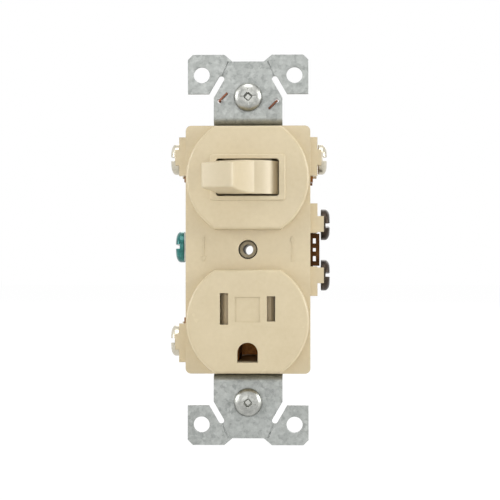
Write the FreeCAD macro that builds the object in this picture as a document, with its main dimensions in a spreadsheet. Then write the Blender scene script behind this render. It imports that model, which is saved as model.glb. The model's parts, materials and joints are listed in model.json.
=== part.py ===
import FreeCAD, Part
import math
import os
from types import SimpleNamespace
import Sketcher

# Combination wiring device: a sideways toggle switch above an earthed, tamper-resistant socket,
# held by a folded steel strap. Millimetres. X runs to the right, Z up, and the front faces -Y.
# The origin is on the axis of the cover plate screw hole, in the rear face of the plaster ears.

os.makedirs("parts", exist_ok=True)
Vector = FreeCAD.Vector
doc = FreeCAD.newDocument("switch_and_socket")

SIZES = (
    # Strap
    ("strap_gauge", 1.1),
    ("strap_height", 106.7),
    ("ear_width", 33.0),
    ("ear_inner_edge", 42.6),
    ("ear_shoulder", 10.7),
    ("ear_chamfer", 1.4),
    ("neck_width", 18.8),
    ("neck_top", 41.5),
    ("notch_half_width", 4.3),
    ("notch_depth", 1.85),
    ("notch_chamfer", 2.2),
    ("plaster_hole_radius", 2.2),
    ("plaster_hole_spacing", 25.4),
    ("plaster_hole_height", 47.8),
    ("break_slot_width", 1.65),
    ("break_slot_angle", 60.0),
    ("break_slot_length", 5.4),
    ("score_width", 0.4),
    ("score_depth", 0.3),
    ("bend_radius", 0.8),
    ("wrap_gap", 0.4),
    ("lug_width", 8.0),
    ("lug_front", 4.6),
    # Box screws and their slots
    ("box_screw_spacing", 83.34),
    ("box_screw_radius", 1.7),
    ("box_screw_length", 20.0),
    ("box_neck_radius", 1.5),
    ("box_neck_length", 2.9),
    ("box_head_radius", 3.9),
    ("box_head_height", 2.3),
    ("box_head_rim", 0.9),
    ("box_slot_length", 7.4),
    ("box_slot_height", 4.2),
    ("drive_slot_width", 1.1),
    ("drive_slot_depth", 1.3),
    ("washer_radius", 4.4),
    ("washer_gauge", 0.8),
    ("thread_clearance", 0.05),
    ("seat_gap", 0.05),
    # Earth clip
    ("clip_wire_radius", 0.3),
    ("clip_hole_radius", 0.58),
    ("clip_hole_spacing", 15.7),
    ("clip_hole_height", 40.65),
    ("clip_leg", 2.2),
    ("clip_gap", 0.1),
    # Cover
    ("cover_width", 34.0),
    ("cover_height", 67.6),
    ("corner_radius", 1.5),
    ("shoulder_front", 2.3),
    ("parting_depth", 3.5),
    ("face_rise", 4.0),
    ("face_radius", 16.6),
    ("face_flat", 14.0),
    ("face_spacing", 38.9),
    ("face_wall", 2.0),
    ("face_edge", 0.8),
    ("bezel_length", 20.4),
    ("bezel_height", 12.5),
    ("bezel_rise", 0.45),
    ("bezel_edge", 0.35),
    ("opening_length", 17.0),
    ("opening_height", 10.1),
    ("opening_corner", 0.8),
    ("blade_spacing", 12.7),
    ("blade_height", 3.4),
    ("slot_thickness", 2.2),
    ("neutral_slot_length", 8.5),
    ("hot_slot_length", 6.8),
    ("ground_drop", 8.45),
    ("ground_hole_radius", 2.75),
    ("ground_hole_flat", 2.6),
    ("label_square", 6.7),
    ("label_depth", 0.2),
    ("label_drop", -3.2),
    ("plate_hole_radius", 2.6),
    ("ledge_reach", 19.0),
    ("ledge_front", 0.5),
    ("pad_half_height", 2.15),
    ("pale_pad_reach", 20.1),
    ("dark_pad_reach", 20.75),
    # Body
    ("body_width", 33.6),
    ("body_height", 67.2),
    ("body_back", 24.2),
    ("body_rear_edge", 1.2),
    ("ledge_gauge", 1.8),
    ("turret_gap", 0.4),
    ("turret_front", -1.6),
    ("floor_depth", 13.4),
    ("chamber_wall", 2.5),
    ("chamber_low", 7.0),
    ("chamber_high", 32.0),
    ("strip_gap", 0.15),
    # Eyelet
    ("eyelet_radius", 2.3),
    ("eyelet_bore", 1.37),
    ("eyelet_front", -0.5),
    ("eyelet_flange_radius", 3.6),
    ("eyelet_flange_gauge", 0.7),
    ("eyelet_gap", 0.1),
    # Toggle
    ("pivot_depth", 0.6),
    ("toggle_tilt", 24.0),
    ("barrel_radius", 9.5),
    ("toggle_width", 9.0),
    ("tip_width", 6.6),
    ("tip_reach", 19.6),
    ("tip_half_thickness", 5.0),
    ("root_half_thickness", 5.5),
    ("flank_hollow", 1.1),
    ("tip_crown", 0.35),
    ("tip_edge", 1.3),
    ("side_edge", 0.5),
    ("pin_radius", 1.5),
    ("pin_length", 13.2),
    ("pin_clearance", 0.05),
    ("boss_reach", 4.2),
    ("boss_half_width", 1.9),
    ("boss_dome_radius", 1.4),
    ("rib_gap", 0.3),
    ("rib_gauge", 2.0),
    ("rib_half_length", 6.5),
    ("post_half_width", 2.6),
    # Contact rocker
    ("rocker_depth", 9.3),
    ("rocker_tilt", 7.0),
    ("rocker_half_length", 9.3),
    ("rocker_half_width", 3.0),
    ("rocker_gauge", 0.9),
    ("rocker_pin_radius", 0.7),
    ("nib_radius", 1.05),
    ("button_spacing", 16.0),
    ("button_radius", 1.3),
    ("button_height", 0.7),
    ("cradle_ear_gauge", 0.8),
    # Springs
    ("toggle_spring_radius", 1.0),
    ("toggle_spring_wire", 0.15),
    ("toggle_spring_turns", 4.0),
    ("spring_seat_gap", 0.07),
    ("shutter_spring_radius", 0.5),
    ("shutter_spring_wire", 0.17),
    ("shutter_spring_turns", 8.0),
    # Terminals
    ("strip_gauge", 1.0),
    ("strip_front", 3.6),
    ("terminal_depth", 8.5),
    ("outer_terminal_height", 25.35),
    ("dark_terminal_height", 7.05),
    ("ground_screw_height", 0.8),
    ("outer_strip_below", 6.6),
    ("outer_strip_above", 4.65),
    ("outer_ledge_below", 5.05),
    ("outer_ledge_above", 5.55),
    ("dark_ledge_low", 4.6),
    ("feed_strip_half_height", 12.7),
    ("arm_width", 3.4),
    ("terminal_head_radius", 4.3),
    ("terminal_head_height", 2.4),
    ("terminal_head_rim", 1.3),
    ("terminal_crown_radius", 3.0),
    ("terminal_shank_radius", 1.9),
    ("pale_standoff", 1.5),
    ("dark_standoff", 2.3),
    ("ground_standoff", 0.05),
    ("shank_protrusion", 1.4),
    ("screw_hole_radius", 2.2),
    ("screw_hole_depth", 4.0),
    ("terminal_slot_width", 1.25),
    ("terminal_slot_depth", 1.2),
    ("fin_reach", 19.6),
    ("fin_gauge", 1.0),
    ("fin_half_height", 4.45),
    ("fin_leg_height", 1.3),
    # Blade and ground contacts
    ("jaw_gauge", 0.6),
    ("jaw_gap", 1.6),
    ("jaw_spread", 0.8),
    ("jaw_front", -1.2),
    ("jaw_pinch", 0.8),
    ("jaw_shoulder", 5.0),
    ("jaw_length", 6.5),
    ("jaw_margin", 0.5),
    ("ground_jaw_gap", 5.0),
    ("ground_jaw_gauge", 0.8),
    ("ground_jaw_length", 4.8),
    ("rivet_radius", 1.4),
    ("rivet_head_radius", 2.2),
    ("rivet_head_height", 0.8),
    # Shutters
    ("shutter_gauge", 1.3),
    ("shutter_gap", 0.2),
    ("shutter_outer", 6.9),
    ("shutter_inner", 3.2),
    ("shutter_half_height", 4.6),
    ("shutter_bevel", 1.0),
    ("carrier_half_width", 10.5),
    ("carrier_half_height", 5.6),
    ("carrier_gauge", 1.0),
    ("carrier_slot_margin", 0.45),
)

sheet = doc.addObject("Spreadsheet::Sheet", "size")
for row, (name, number) in enumerate(SIZES, start=1):
    sheet.set(f"A{row}", name)
    sheet.set(f"B{row}", str(number))
    sheet.setAlias(f"B{row}", name)
doc.recompute()


def text_of(term):
    return term.text if isinstance(term, Size) else repr(float(term))


class Size(float):
    """A number that also keeps the sheet expression it is worked out by."""

    def __new__(cls, number, text):
        made = super().__new__(cls, number)
        made.text = text
        return made

    def __add__(self, other):
        return Size(float(self) + float(other), f"({text_of(self)} + {text_of(other)})")

    def __radd__(self, other):
        return Size(float(other) + float(self), f"({text_of(other)} + {text_of(self)})")

    def __sub__(self, other):
        return Size(float(self) - float(other), f"({text_of(self)} - {text_of(other)})")

    def __rsub__(self, other):
        return Size(float(other) - float(self), f"({text_of(other)} - {text_of(self)})")

    def __mul__(self, other):
        return Size(float(self) * float(other), f"({text_of(self)} * {text_of(other)})")

    def __rmul__(self, other):
        return Size(float(other) * float(self), f"({text_of(other)} * {text_of(self)})")

    def __truediv__(self, other):
        return Size(float(self) / float(other), f"({text_of(self)} / {text_of(other)})")

    def __neg__(self):
        return Size(-float(self), f"(0 - {text_of(self)})")


def square_root(term):
    return Size(math.sqrt(term), f"sqrt({text_of(term)})")


def sine(term):
    return Size(math.sin(math.radians(term)), f"sin({text_of(term)})")


def cosine(term):
    return Size(math.cos(math.radians(term)), f"cos({text_of(term)})")


S = SimpleNamespace(**{name: Size(sheet.get(name), f"size.{name}") for name, _ in SIZES})


def bind(thing, field, amount):
    """Tie one property of an object to the sheet."""
    if isinstance(amount, Size):
        thing.setExpression(field, amount.text)


def place(thing, x, y, z, rotation=FreeCAD.Rotation()):
    thing.Placement = FreeCAD.Placement(Vector(x, y, z), rotation)
    for axis, amount in (("x", x), ("y", y), ("z", z)):
        bind(thing, f"Placement.Base.{axis}", amount)


def turn_about_z(thing, angle):
    """Turn a placed object about its own Z axis by an angle from the sheet."""
    thing.Placement.Rotation = FreeCAD.Rotation(Vector(0, 0, 1), float(angle))
    bind(thing, "Placement.Rotation.Angle", angle)


# Profiles. A corner is (x, y), reached by a line, or (x, y, cx, cy, turn), reached by an arc
# about (cx, cy) that runs counter-clockwise when turn is 1 and clockwise when it is -1.


def rectangle(x, y):
    return [(x[0], y[0]), (x[1], y[0]), (x[1], y[1]), (x[0], y[1])]


def rounded(x, y, radius):
    """A rectangle with round corners."""
    inner_x = (x[0] + radius, x[1] - radius)
    inner_y = (y[0] + radius, y[1] - radius)
    return [
        (inner_x[0], y[0]),
        (inner_x[1], y[0]),
        (x[1], inner_y[0], inner_x[1], inner_y[0], 1),
        (x[1], inner_y[1]),
        (inner_x[1], y[1], inner_x[1], inner_y[1], 1),
        (inner_x[0], y[1]),
        (x[0], inner_y[1], inner_x[0], inner_y[1], 1),
        (x[0], inner_y[0]),
        (inner_x[0], y[0], inner_x[0], inner_y[0], 1),
    ][1:]


def flatted_circle(centre_y, radius, flat):
    """A circle about (0, centre_y) with its top and bottom cut flat."""
    half = square_root(radius * radius - flat * flat)
    low = centre_y - flat
    high = centre_y + flat
    return [(half, low), (half, high, 0.0, centre_y, 1), (-half, high), (-half, low, 0.0, centre_y, 1)]


def draw(sketch, corners):
    """Draw one closed loop and hold every corner by the sheet."""
    pieces = []
    for index, corner in enumerate(corners):
        start = corners[index - 1]
        first = Vector(start[0], start[1], 0)
        last = Vector(corner[0], corner[1], 0)
        if len(corner) == 2:
            edge = sketch.addGeometry(Part.LineSegment(first, last), False)
            pieces.append((edge, 1, 2))
            continue
        centre = Vector(corner[2], corner[3], 0)
        ends = (first, last) if corner[4] == 1 else (last, first)
        angles = [math.atan2(end.y - centre.y, end.x - centre.x) for end in ends]
        if angles[1] <= angles[0]:
            angles[1] += 2 * math.pi
        circle = Part.Circle(centre, Vector(0, 0, 1), first.distanceToPoint(centre))
        edge = sketch.addGeometry(Part.ArcOfCircle(circle, *angles), False)
        pieces.append((edge, 1, 2) if corner[4] == 1 else (edge, 2, 1))
        along_x = abs(last.x - first.x) > abs(last.y - first.y)
        hold(sketch, "DistanceY" if along_x else "DistanceX", edge, 3, corner[3] if along_x else corner[2])
    for index, corner in enumerate(corners):
        edge, _, end = pieces[index]
        following, begin, _ = pieces[(index + 1) % len(pieces)]
        sketch.addConstraint(Sketcher.Constraint("Coincident", edge, end, following, begin))
        hold(sketch, "DistanceX", edge, end, corner[0])
        hold(sketch, "DistanceY", edge, end, corner[1])


def hold(sketch, kind, edge, point, amount):
    number = sketch.addConstraint(Sketcher.Constraint(kind, -1, 1, edge, point, float(amount)))
    bind(sketch, f"Constraints[{number}]", amount)


def draw_circle(sketch, x, y, radius):
    edge = sketch.addGeometry(Part.Circle(Vector(x, y, 0), Vector(0, 0, 1), float(radius)), False)
    hold(sketch, "DistanceX", edge, 3, x)
    hold(sketch, "DistanceY", edge, 3, y)
    number = sketch.addConstraint(Sketcher.Constraint("Radius", edge, float(radius)))
    bind(sketch, f"Constraints[{number}]", radius)


# Features. A prism runs along one axis, from one level to another, on the plane across that axis.

PLANES = {"x": "YZ_Plane", "y": "XZ_Plane", "z": "XY_Plane"}


def new_body(label):
    body = doc.addObject("PartDesign::Body", label)
    body.Label = label
    return body


def new_sketch(body, axis, level, name):
    plane = next(item for item in body.Origin.OriginFeatures if item.Role == PLANES[axis])
    sketch = body.newObject("Sketcher::SketchObject", name + "_sketch")
    sketch.AttachmentSupport = [(plane, "")]
    sketch.MapMode = "FlatFace"
    offset = -level if axis == "y" else level
    sketch.AttachmentOffset = FreeCAD.Placement(Vector(0, 0, offset), FreeCAD.Rotation())
    bind(sketch, "AttachmentOffset.Base.z", offset)
    return sketch


def prism(body, kind, name, axis, levels, loops):
    """Pad or pocket closed loops, or circles given as (x, y, radius), between two levels."""
    before = body.Shape.Volume if body.Tip else 0.0
    sketch = new_sketch(body, axis, levels[0], name)
    for loop in loops:
        if isinstance(loop, tuple):
            draw_circle(sketch, *loop)
        else:
            draw(sketch, loop)
    feature = body.newObject(f"PartDesign::{kind}", name)
    feature.Profile = sketch
    length = levels[1] - levels[0]
    feature.Length = float(length)
    bind(feature, "Length", length)
    feature.Reversed = (axis == "y") == (kind == "Pad")
    doc.recompute()
    change = body.Shape.Volume - before
    if (kind == "Pad") != (change > 0):
        raise RuntimeError(f"{body.Label}: {name} changed the volume by {change:.4f}")
    return feature


def add(body, name, axis, levels, loops):
    return prism(body, "Pad", name, axis, levels, loops)


def cut(body, name, axis, levels, loops):
    return prism(body, "Pocket", name, axis, levels, loops)


def revolve(body, name, corners, axis="H_Axis"):
    """Turn a half section drawn in X and Y about the X axis, or about Y with V_Axis."""
    sketch = new_sketch(body, "z", 0.0, name)
    draw(sketch, corners)
    feature = body.newObject("PartDesign::Revolution", name)
    feature.Profile = sketch
    feature.ReferenceAxis = (sketch, [axis])
    feature.Angle = 360.0
    doc.recompute()
    return feature


def soften(body, kind, name, amount, wanted):
    """Fillet or chamfer the edges of the tip that wanted picks."""
    base = body.Tip
    edges = [f"Edge{number}" for number, edge in enumerate(base.Shape.Edges, start=1) if wanted(edge)]
    if not edges:
        raise RuntimeError(f"{body.Label}: no edge for {name}")
    feature = body.newObject(f"PartDesign::{kind}", name)
    feature.Base = (base, edges)
    field = "Radius" if kind == "Fillet" else "Size"
    setattr(feature, field, float(amount))
    bind(feature, field, amount)
    doc.recompute()
    return feature


def in_plane(axis, level):
    """A test for edges that lie wholly in the plane across an axis at a level."""
    low, high = {"x": ("XMin", "XMax"), "y": ("YMin", "YMax"), "z": ("ZMin", "ZMax")}[axis]

    def test(edge):
        bounds = edge.BoundBox
        return abs(getattr(bounds, low) - level) < 1e-4 and abs(getattr(bounds, high) - level) < 1e-4

    return test


def mirror_x(loop):
    """The same loop on the other side of X = 0."""
    flipped = []
    for corner in loop:
        if len(corner) == 2:
            flipped.append((-corner[0], corner[1]))
        else:
            flipped.append((-corner[0], corner[1], -corner[2], corner[3], -corner[4]))
    return flipped


def mirror_z(loop):
    """The same loop on the other side of Z = 0."""
    flipped = []
    for corner in loop:
        if len(corner) == 2:
            flipped.append((corner[0], -corner[1]))
        else:
            flipped.append((corner[0], -corner[1], corner[2], -corner[3], -corner[4]))
    return flipped


# Levels and places that several pieces share

ear_front = -S.strap_gauge
face_front = -(S.shoulder_front + S.face_rise)
face_back = face_front + S.face_wall
switch_height = S.face_spacing / 2
socket_height = -S.face_spacing / 2
blade_row = socket_height + S.blade_height
ground_pin_height = socket_height - S.ground_drop
wall_inner = S.cover_height / 2 + S.wrap_gap
wall_outer = wall_inner + S.strap_gauge
strap_back = S.body_back + S.strap_gauge
strip_inner = S.body_width / 2
chamber_half = strip_inner - S.chamber_wall
outer_strip_low = S.outer_terminal_height - S.outer_strip_below
outer_strip_high = S.outer_terminal_height + S.outer_strip_above
strip_outer = strip_inner + S.strip_gauge
floor_front = S.floor_depth - S.strip_gauge
shutter_front = face_back + S.shutter_gap
shutter_back = shutter_front + S.shutter_gauge
carrier_front = S.turret_front - S.carrier_gauge
rib_low = S.toggle_width / 2 + S.rib_gap
rib_high = rib_low + S.rib_gauge
post_front = S.pivot_depth + S.pin_radius + 2 * S.pin_clearance

# Each terminal: its name, side (-1 left, 1 right), height, ledge span and how far its pad reaches
dark_ledge = (S.dark_ledge_low, S.feed_strip_half_height)
outer_ledge = (
    S.outer_terminal_height - S.outer_ledge_below,
    S.outer_terminal_height + S.outer_ledge_above,
)


def below(span):
    return (-span[1], -span[0])


TERMINALS = (
    ("left_traveller", -1, S.outer_terminal_height, outer_ledge, S.pale_pad_reach, S.pale_standoff),
    ("neutral", -1, -S.outer_terminal_height, below(outer_ledge), S.pale_pad_reach, S.pale_standoff),
    ("right_traveller", 1, S.outer_terminal_height, outer_ledge, S.pale_pad_reach, S.pale_standoff),
    ("common", 1, S.dark_terminal_height, dark_ledge, S.dark_pad_reach, S.dark_standoff),
    ("feed", 1, -S.dark_terminal_height, below(dark_ledge), S.dark_pad_reach, S.dark_standoff),
)


def on_side(side, near, far):
    """A span from near to far in X, on the left or the right side."""
    return (near, far) if side == 1 else (-far, -near)


def slot_outline(centre_x, length):
    return rectangle(
        (centre_x - S.slot_thickness / 2, centre_x + S.slot_thickness / 2),
        (blade_row - length / 2, blade_row + length / 2),
    )


def ground_outline(grow=0.0):
    """Round above, square below, as the round pin of a plug enters it."""
    radius = S.ground_hole_radius + grow
    flat = ground_pin_height - S.ground_hole_flat - grow
    return [
        (-radius, flat),
        (radius, flat),
        (radius, ground_pin_height),
        (-radius, ground_pin_height, 0.0, ground_pin_height, 1),
    ]


def make_front_cover():
    body = new_body("front_cover")
    half_width = S.cover_width / 2
    half_height = S.cover_height / 2
    outline = rounded((-half_width, half_width), (-half_height, half_height), S.corner_radius)
    add(body, "shoulder_plate", "y", (-S.shoulder_front, S.parting_depth), [outline])
    faces = [flatted_circle(level, S.face_radius, S.face_flat) for level in (switch_height, socket_height)]
    add(body, "raised_faces", "y", (face_front, -S.shoulder_front), faces)
    soften(body, "Fillet", "face_edges", S.face_edge, in_plane("y", face_front))
    bezel = rounded(
        (-S.bezel_length / 2, S.bezel_length / 2),
        (switch_height - S.bezel_height / 2, switch_height + S.bezel_height / 2),
        S.opening_corner,
    )
    add(body, "toggle_bezel", "y", (face_front - S.bezel_rise, face_front), [bezel])
    soften(body, "Fillet", "bezel_edges", S.bezel_edge, in_plane("y", face_front - S.bezel_rise))
    ledges = []
    pads = []
    for _, side, level, ledge, reach, _ in TERMINALS:
        ledges.append(rectangle(on_side(side, half_width - S.ledge_gauge, S.ledge_reach), ledge))
        span = (level - S.pad_half_height, level + S.pad_half_height)
        pads.append(rectangle(on_side(side, half_width - S.ledge_gauge, reach), span))
    add(body, "terminal_ledges", "y", (S.ledge_front, S.parting_depth), ledges)
    add(body, "terminal_pads", "y", (S.ledge_front, S.parting_depth), pads)
    inner_radius = S.face_radius - S.face_wall
    inner_flat = S.face_flat - S.face_wall
    hollows = [flatted_circle(level, inner_radius, inner_flat) for level in (switch_height, socket_height)]
    cut(body, "hollows", "y", (face_back, S.parting_depth), hollows)
    opening = rounded(
        (-S.opening_length / 2, S.opening_length / 2),
        (switch_height - S.opening_height / 2, switch_height + S.opening_height / 2),
        S.opening_corner,
    )
    cut(body, "toggle_opening", "y", (face_front - S.bezel_rise, face_back), [opening])
    slots = [
        slot_outline(-S.blade_spacing / 2, S.neutral_slot_length),
        slot_outline(S.blade_spacing / 2, S.hot_slot_length),
        ground_outline(),
    ]
    cut(body, "pin_slots", "y", (face_front, face_back), slots)
    label_height = socket_height - S.label_drop
    label = rectangle(
        (-S.label_square / 2, S.label_square / 2),
        (label_height - S.label_square / 2, label_height + S.label_square / 2),
    )
    cut(body, "label_recess", "y", (face_front, face_front + S.label_depth), [label])
    cut(body, "plate_screw_hole", "y", (-S.shoulder_front, S.parting_depth), [(0.0, 0.0, S.plate_hole_radius)])
    ribs = []
    for sign in (-1, 1):
        span = sorted((switch_height + sign * rib_low, switch_height + sign * rib_high))
        ribs.append(rectangle((-S.rib_half_length, S.rib_half_length), span))
    add(body, "bearing_ribs", "y", (face_back, post_front), ribs)
    bore = S.pin_radius + S.pin_clearance
    notch = [
        (bore, post_front),
        (-bore, post_front),
        (-bore, S.pivot_depth),
        (bore, S.pivot_depth, 0.0, S.pivot_depth, 1),
    ]
    cut(body, "bearing_notches", "z", (switch_height - rib_high, switch_height + rib_high), [notch])


def arm_channel(side, inner, span, depth_gap):
    """The channel that a strip's arm drops into, from the parting face to the chamber floor."""
    return rectangle(on_side(side, inner - depth_gap, strip_inner), (span[0] - depth_gap, span[1] + depth_gap))


def contact_pocket(side, span):
    centre = side * S.blade_spacing / 2
    half = S.jaw_gap / 2 + S.jaw_spread + S.jaw_gauge + S.strip_gap
    return rectangle((centre - half, centre + half), (span[0] - S.strip_gap, span[1] + S.strip_gap))


jaw_span = (blade_row - S.jaw_length / 2, blade_row + S.jaw_length / 2)
neutral_arm = (-(outer_strip_low + S.arm_width), -outer_strip_low)
hot_arm = (-(S.feed_strip_half_height - S.strip_gap), -(S.feed_strip_half_height - S.strip_gap) + S.arm_width)
common_arm = (S.chamber_low + 2 * S.jaw_margin, S.chamber_low + 2 * S.jaw_margin + S.arm_width)
traveller_arm = (outer_strip_low - S.jaw_margin, outer_strip_low + S.arm_width)
jaw_outer = S.jaw_gap / 2 + S.jaw_spread + S.jaw_gauge


def make_back_body():
    body = new_body("back_body")
    half_width = S.body_width / 2
    half_height = S.body_height / 2
    outline = rounded((-half_width, half_width), (-half_height, half_height), S.corner_radius)
    add(body, "block", "y", (S.parting_depth, S.body_back), [outline])
    soften(body, "Fillet", "rear_edges", S.body_rear_edge, in_plane("y", S.body_back))
    turret = flatted_circle(
        socket_height,
        S.face_radius - S.face_wall - S.turret_gap,
        S.face_flat - S.face_wall - S.turret_gap,
    )
    add(body, "socket_turret", "y", (S.turret_front, S.parting_depth), [turret])
    ledges = []
    for _, side, _, ledge, _, _ in TERMINALS:
        ledges.append(rectangle(on_side(side, half_width - S.ledge_gauge, S.ledge_reach), ledge))
    ledge_levels = (S.floor_depth + S.strip_gap, S.floor_depth + S.strip_gap + S.ledge_gauge)
    add(body, "rear_ledges", "y", ledge_levels, ledges)
    chamber = rounded(
        (-chamber_half, chamber_half),
        (S.chamber_low, S.chamber_high),
        S.opening_corner,
    )
    cut(body, "switch_chamber", "y", (S.parting_depth, S.floor_depth), [chamber])
    channels = [
        arm_channel(-1, chamber_half, traveller_arm, S.strip_gap),
        arm_channel(1, chamber_half, traveller_arm, S.strip_gap),
        arm_channel(1, chamber_half, common_arm, S.strip_gap),
    ]
    cut(body, "traveller_channels", "y", (S.parting_depth, S.floor_depth), channels)
    neutral_pocket = contact_pocket(-1, (neutral_arm[0], jaw_span[1]))
    hot_pocket = contact_pocket(1, (jaw_span[0], hot_arm[1]))
    cut(body, "contact_pockets", "y", (S.turret_front, S.floor_depth), [neutral_pocket, hot_pocket])
    arm_inner = S.blade_spacing / 2
    arms = [
        arm_channel(-1, arm_inner, neutral_arm, S.strip_gap),
        arm_channel(1, arm_inner, hot_arm, S.strip_gap),
    ]
    cut(body, "contact_channels", "y", (S.turret_front, S.floor_depth), arms)
    ground_half = S.ground_jaw_gap / 2 + S.ground_jaw_gauge + S.strip_gap
    ground_reach = S.ground_jaw_length / 2 + S.strip_gap
    ground_pocket = rectangle(
        (-ground_half, ground_half),
        (ground_pin_height - ground_reach, ground_pin_height + ground_reach),
    )
    cut(body, "ground_pocket", "y", (S.turret_front, S.body_back), [ground_pocket])
    eyelet_hole = (0.0, 0.0, S.eyelet_radius + S.eyelet_gap)
    cut(body, "eyelet_hole", "y", (S.parting_depth, S.body_back), [eyelet_hole])
    for side in (-1, 1):
        holes = [
            (S.terminal_depth, level, S.screw_hole_radius)
            for _, where, level, _, _, _ in TERMINALS
            if where == side
        ]
        if side == -1:
            holes.append((S.terminal_depth, S.ground_screw_height, S.screw_hole_radius))
        span = on_side(side, half_width - S.screw_hole_depth, half_width)
        cut(body, f"screw_holes_{'left' if side == -1 else 'right'}", "x", span, holes)
    posts = []
    for sign in (-1, 1):
        span = sorted((switch_height + sign * rib_low, switch_height + sign * rib_high))
        posts.append(rectangle((-S.post_half_width, S.post_half_width), span))
    add(body, "bearing_posts", "y", (post_front, S.floor_depth), posts)


def wrap_profile():
    """The section of the strap in Y and Z: two walls and the run across the back."""
    tight = S.bend_radius
    wide = S.bend_radius + S.strap_gauge
    ear = wall_outer + tight
    upper = [
        (0.0, ear),
        (tight, wall_outer, tight, ear, 1),
        (strap_back - wide, wall_outer),
        (strap_back, wall_outer - wide, strap_back - wide, wall_outer - wide, -1),
    ]
    inner = [
        (S.body_back, wall_inner - tight),
        (S.body_back - tight, wall_inner, S.body_back - tight, wall_inner - tight, 1),
        (tight, wall_inner),
        (ear_front, ear, tight, ear, -1),
    ]
    lower_outer = [
        (strap_back, -(wall_outer - wide)),
        (strap_back - wide, -wall_outer, strap_back - wide, -(wall_outer - wide), -1),
        (tight, -wall_outer),
        (0.0, -ear, tight, -ear, 1),
    ]
    lower_inner = [
        (ear_front, -ear),
        (tight, -wall_inner, tight, -ear, -1),
        (S.body_back - tight, -wall_inner),
        (S.body_back, -(wall_inner - tight), S.body_back - tight, -(wall_inner - tight), 1),
    ]
    return upper + lower_outer + lower_inner + inner


def ear_outline():
    """The upper pair of plaster ears with the neck below them."""
    top = S.strap_height / 2
    half = S.ear_width / 2
    right = [
        (S.neck_width / 2, wall_outer + S.bend_radius),
        (S.neck_width / 2, S.neck_top),
        (S.ear_shoulder, S.ear_inner_edge),
        (half, S.ear_inner_edge),
        (half, top - S.ear_chamfer),
        (half - S.ear_chamfer, top),
        (S.notch_half_width + S.notch_chamfer, top),
        (S.notch_half_width, top - S.notch_depth),
    ]
    return right + mirror_x(right)[::-1]


def break_slot():
    """The slanted slot that lets a plaster ear be snapped off, open at the neck."""
    along = (-cosine(S.break_slot_angle), sine(S.break_slot_angle))
    across = (sine(S.break_slot_angle), cosine(S.break_slot_angle))
    mouth = ((S.ear_shoulder + S.neck_width / 2) / 2, (S.ear_inner_edge + S.neck_top) / 2)
    end = tuple(mouth[k] + along[k] * S.break_slot_length for k in (0, 1))
    half = S.break_slot_width / 2
    far = tuple(mouth[k] - along[k] * S.break_slot_width for k in (0, 1))
    return [
        (far[0] + across[0] * half, far[1] + across[1] * half),
        (end[0] + across[0] * half, end[1] + across[1] * half),
        (end[0] - across[0] * half, end[1] - across[1] * half, end[0], end[1], 1),
        (far[0] - across[0] * half, far[1] - across[1] * half),
    ], end


def score_line(end):
    """A shallow groove from the slot's end to the notch, where the ear breaks."""
    half = S.score_width / 2
    top = S.strap_height / 2 - S.notch_depth
    foot = S.notch_half_width + S.notch_chamfer / 2
    return [(end[0] - half, end[1]), (end[0] + half, end[1]), (foot + half, top), (foot - half, top)]


def make_mounting_strap():
    body = new_body("mounting_strap")
    half = S.neck_width / 2
    add(body, "wrap", "x", (-half, half), [wrap_profile()])
    outline = ear_outline()
    add(body, "ears", "y", (ear_front, 0.0), [outline, mirror_z(outline)[::-1]])
    lug_reach = strip_inner + S.strap_gauge
    tight = S.bend_radius
    wide = S.bend_radius + S.strap_gauge
    lug = [
        (-half, S.body_back),
        (-half, strap_back),
        (-(lug_reach - wide), strap_back),
        (-lug_reach, strap_back - wide, -(lug_reach - wide), strap_back - wide, 1),
        (-lug_reach, S.lug_front),
        (-strip_inner, S.lug_front),
        (-strip_inner, S.body_back - tight),
        (-(strip_inner - tight), S.body_back, -(strip_inner - tight), S.body_back - tight, -1),
    ]
    lug_span = (S.ground_screw_height - S.lug_width / 2, S.ground_screw_height + S.lug_width / 2)
    add(body, "earth_lug", "z", lug_span, [lug])
    spots = [
        (side * S.plaster_hole_spacing / 2, level * S.plaster_hole_height, S.plaster_hole_radius)
        for side in (-1, 1)
        for level in (-1, 1)
    ]
    through = (ear_front, 0.0)
    cut(body, "plaster_holes", "y", through, spots)
    slot, slot_end = break_slot()
    score = score_line(slot_end)
    for name, loop, levels in (
        ("break_slots", slot, through),
        ("score_lines", score, (ear_front, ear_front + S.score_depth)),
    ):
        right = [loop, mirror_z(loop)]
        cut(body, name, "y", levels, right + [mirror_x(item) for item in right])
    reach = S.box_slot_length / 2 - S.box_slot_height / 2
    for sign in (-1, 1):
        level = sign * S.box_screw_spacing / 2
        radius = S.box_slot_height / 2
        oblong = [
            (-reach, level - radius),
            (reach, level - radius),
            (reach, level + radius, reach, level, 1),
            (-reach, level + radius),
        ]
        oblong[0] = (-reach, level - radius, -reach, level, 1)
        cut(body, f"box_slot_{'upper' if sign == 1 else 'lower'}", "y", through, [oblong])
    clip_holes = [(side * S.clip_hole_spacing / 2, S.clip_hole_height, S.clip_hole_radius) for side in (-1, 1)]
    cut(body, "clip_holes", "y", through, clip_holes)
    rear = (S.body_back, strap_back)
    cut(body, "eyelet_hole", "y", rear, [(0.0, 0.0, S.eyelet_radius + S.eyelet_gap)])
    cut(body, "rivet_hole", "y", rear, [(0.0, ground_pin_height, S.rivet_radius)])
    lug_hole = (S.terminal_depth, S.ground_screw_height, S.terminal_shank_radius + S.thread_clearance)
    cut(body, "lug_hole", "x", (-lug_reach, -strip_inner), [lug_hole])


def make_centre_eyelet():
    """A threaded sleeve from the cover's web to the back of the strap, flanged at the rear."""
    body = new_body("centre_eyelet")
    rear = strap_back + S.eyelet_flange_gauge
    add(body, "sleeve", "y", (S.eyelet_front, rear), [(0.0, 0.0, S.eyelet_radius)])
    add(body, "flange", "y", (strap_back, rear), [(0.0, 0.0, S.eyelet_flange_radius)])
    cut(body, "bore", "y", (S.eyelet_front, rear), [(0.0, 0.0, S.eyelet_bore)])


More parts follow.
